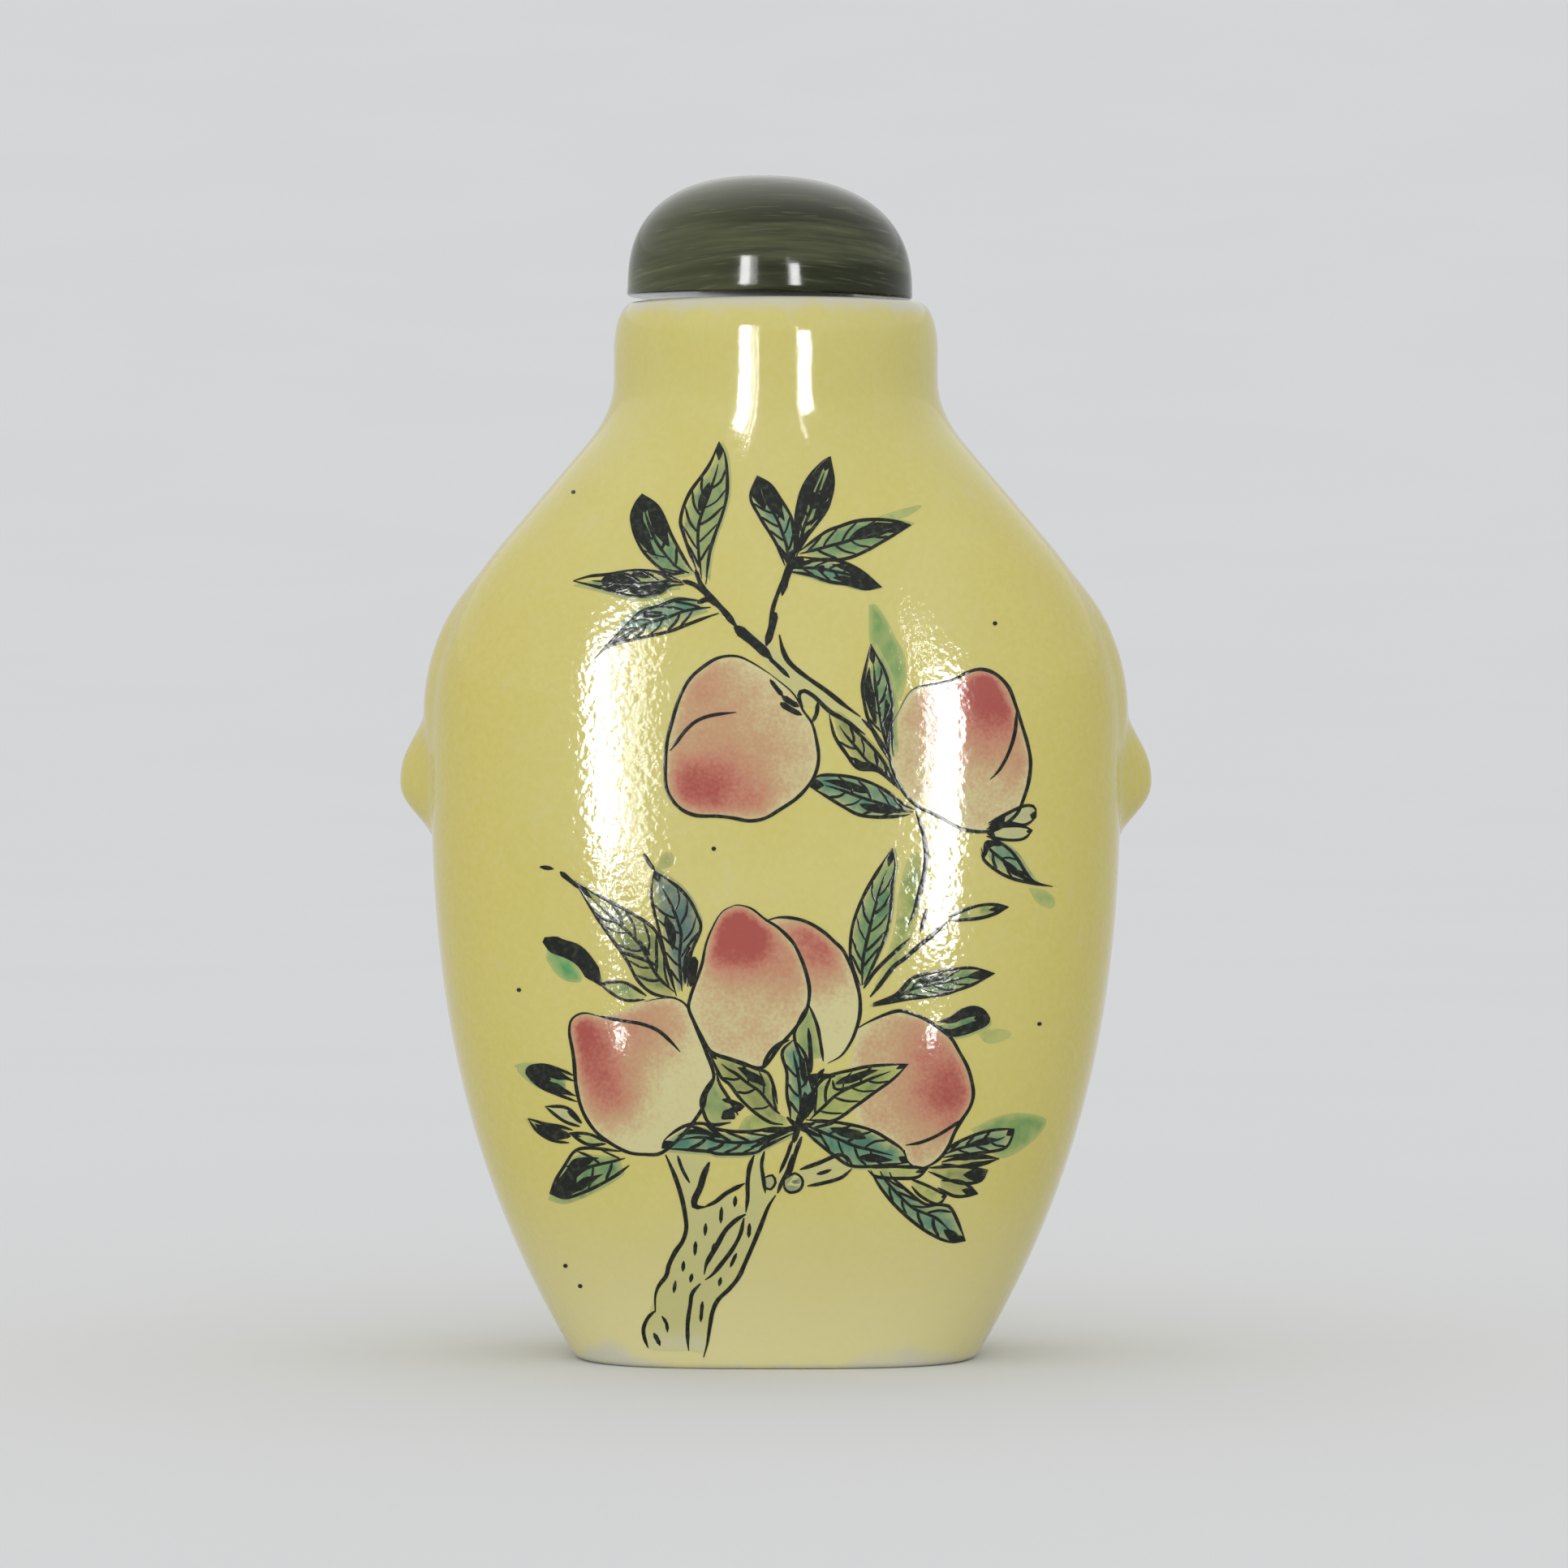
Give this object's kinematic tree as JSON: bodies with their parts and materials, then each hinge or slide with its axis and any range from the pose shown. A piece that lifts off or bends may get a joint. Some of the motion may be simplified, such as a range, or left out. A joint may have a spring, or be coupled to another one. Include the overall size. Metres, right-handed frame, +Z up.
{
  "type": "snuff bottle",
  "caption": "Flattened porcelain snuff bottle with broad shoulders, short neck, mock side handles, painted peach branch and a domed stone stopper.",
  "frame": {"origin": "middle of the foot's underside, on the surface that the bottle stands on", "axes": "+Z up through the neck, +X to the right of someone looking at the painted front, -Y out of the painted front"},
  "size_m": [0.0416, 0.0254, 0.065],
  "materials": {
    "yellow_enamel": "glossy overglaze enamel on porcelain, faint orange peel",
    "green_stone": "polished dark green banded stone",
    "cork": "cut cork, matt",
    "peach_enamel": "painted pink and cream overglaze enamel, glossy",
    "leaf_enamel": "painted translucent green overglaze enamel, glossy",
    "ink_enamel": "brushed black outline enamel, glossy"
  },
  "bodies": {
    "root": {"bottle": "yellow_enamel", "stopper_cap": "green_stone", "stopper_cork": "cork"}
  },
  "joints": []
}
